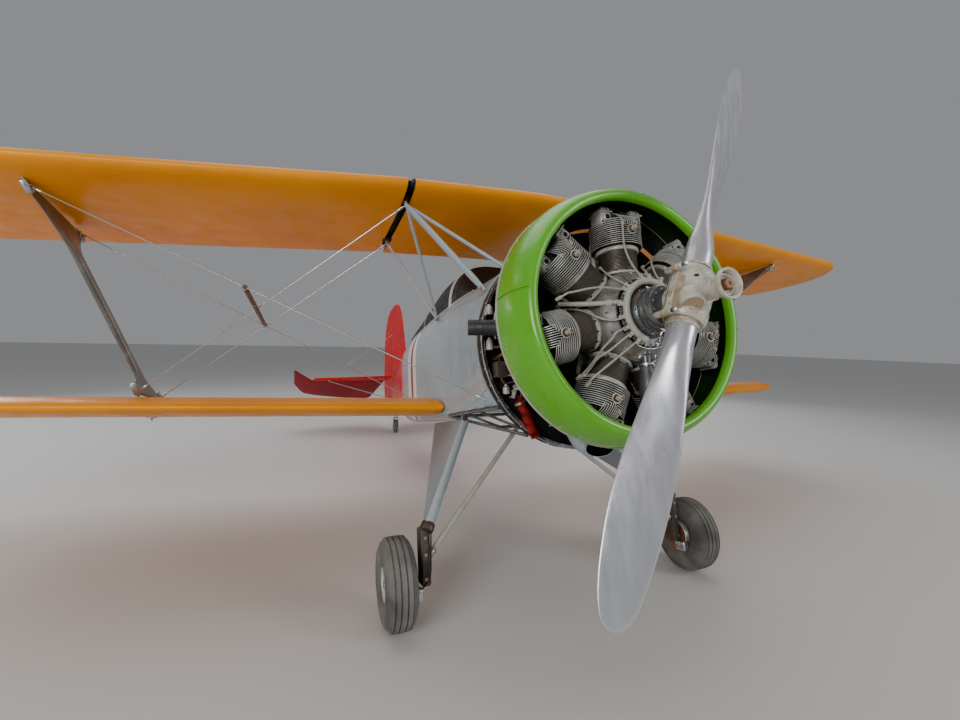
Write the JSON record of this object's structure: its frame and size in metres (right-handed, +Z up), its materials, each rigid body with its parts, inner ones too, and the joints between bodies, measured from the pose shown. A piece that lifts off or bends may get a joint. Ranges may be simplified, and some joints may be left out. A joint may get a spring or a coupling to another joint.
{
  "type": "biplane",
  "caption": "Two-seat sport biplane with an open radial engine in a ring cowl, parked on its main wheels and tailwheel, with turning propeller, wheels and control surfaces.",
  "frame": {"origin": "on the floor, at the middle of the parked aircraft's outline seen from above", "axes": "+X to the aircraft's left wing tip, +Y aft to the tail, +Z up; the airframe stands nose up by 12 degrees"},
  "size_m": [7.4796, 6.814, 2.7001],
  "materials": {
    "orange_dope": "glossy orange-yellow paint over fabric",
    "green_paint": "bright glossy green paint",
    "silver_paint": "satin blue-grey silver paint",
    "red_paint": "glossy red paint",
    "dark_canopy": "very dark tinted sheet, opaque from outside",
    "white_paint": "off-white paint, rust-brown at its edges",
    "blade_metal": "satin polished blade",
    "cylinder_iron": "brown-grey fins and pale heads",
    "case_grey": "blue-grey enamel",
    "steel": "dull steel",
    "exhaust_black": "matt black",
    "wheel_metal": "painted cast wheel, rusty brake disc inside",
    "tyre": "ribbed black tyre"
  },
  "bodies": {
    "airframe": {"upper_centre_section": "orange_dope", "upper_wing_right": "orange_dope", "upper_wing_left": "orange_dope", "lower_wing_right": "orange_dope", "lower_wing_left": "orange_dope", "cowl": "green_paint", "fuselage_nose": "silver_paint", "cabane_right": "silver_paint", "cabane_left": "silver_paint", "interplane_strut_right": "silver_paint", "interplane_strut_left": "silver_paint", "gear_leg_right": "silver_paint", "gear_leg_left": "silver_paint", "gear_brace": "silver_paint", "air_intake": "silver_paint", "fuselage_rear": "red_paint", "fin": "red_paint", "stabiliser_right": "red_paint", "stabiliser_left": "red_paint", "cooling_duct": "red_paint", "windscreen": "dark_canopy", "canopy": "dark_canopy", "canopy_frame": "white_paint", "ignition_ring": "white_paint", "cylinder_1": "cylinder_iron", "cylinder_2": "cylinder_iron", "cylinder_3": "cylinder_iron", "cylinder_4": "cylinder_iron", "cylinder_5": "cylinder_iron", "cylinder_6": "cylinder_iron", "cylinder_7": "cylinder_iron", "crankcase": "case_grey", "accessory_case": "case_grey", "firewall": "steel", "engine_mount": "steel", "bracing_right": "steel", "bracing_left": "steel", "tail_bracing_right": "steel", "tail_bracing_left": "steel", "tail_spring": "steel", "exhaust": "exhaust_black"},
    "propeller": {"propeller_hub": "white_paint", "propeller_blade_1": "blade_metal", "propeller_blade_2": "blade_metal"},
    "main_wheel_right": {"tyre_right": "tyre", "wheel_hub_right": "wheel_metal"},
    "main_wheel_left": {"tyre_left": "tyre", "wheel_hub_left": "wheel_metal"},
    "tail_swivel": {"tail_fork": "steel"},
    "tail_roller": {"tail_wheel": "tyre"},
    "rudder": {"rudder": "red_paint"},
    "elevators": {"elevator_right": "red_paint", "elevator_left": "red_paint"},
    "aileron_right": {"aileron_right": "orange_dope"},
    "aileron_left": {"aileron_left": "orange_dope"}
  },
  "joints": [
    {"name": "propeller_spin", "type": "hinge", "parent": "airframe", "child": "propeller", "pos_m": [0, -3.16558, 1.61508], "axis": [0, 0.9781, -0.2079], "continuous": true},
    {"name": "main_wheel_right_spin", "type": "hinge", "parent": "airframe", "child": "main_wheel_right", "pos_m": [-0.939, -2.30155, 0.22098], "axis": [1, 0, 0], "continuous": true},
    {"name": "main_wheel_left_spin", "type": "hinge", "parent": "airframe", "child": "main_wheel_left", "pos_m": [0.939, -2.30155, 0.22098], "axis": [1, 0, 0], "continuous": true},
    {"name": "tail_swivel_steer", "type": "hinge", "parent": "airframe", "child": "tail_swivel", "pos_m": [0, 2.38455, 0.22436], "axis": [0, 0.2079, 0.9781], "range_deg": [-35, 35]},
    {"name": "tail_wheel_spin", "type": "hinge", "parent": "tail_swivel", "child": "tail_roller", "pos_m": [0, 2.41423, 0.09945], "axis": [1, 0, 0], "continuous": true},
    {"name": "rudder_hinge", "type": "hinge", "parent": "airframe", "child": "rudder", "pos_m": [0, 2.65997, 0.80825], "axis": [0, 0.2079, 0.9781], "range_deg": [-30, 30]},
    {"name": "elevator_hinge", "type": "hinge", "parent": "airframe", "child": "elevators", "pos_m": [0, 2.69816, 0.77151], "axis": [1, 0, 0], "range_deg": [0, 55]},
    {"name": "aileron_right_hinge", "type": "hinge", "parent": "airframe", "child": "aileron_right", "pos_m": [-1.515, -0.59639, 0.8356], "axis": [0.9894, -0.1451, -0.0116], "range_deg": [-22, 22]},
    {"name": "aileron_left_hinge", "type": "hinge", "parent": "airframe", "child": "aileron_left", "pos_m": [1.515, -0.59639, 0.8356], "axis": [0.9894, 0.1451, 0.0116], "range_deg": [-22, 22]}
  ],
  "couplings": [
    {"joint": "aileron_left_hinge", "follows": "aileron_right_hinge", "ratio": -1}
  ]
}
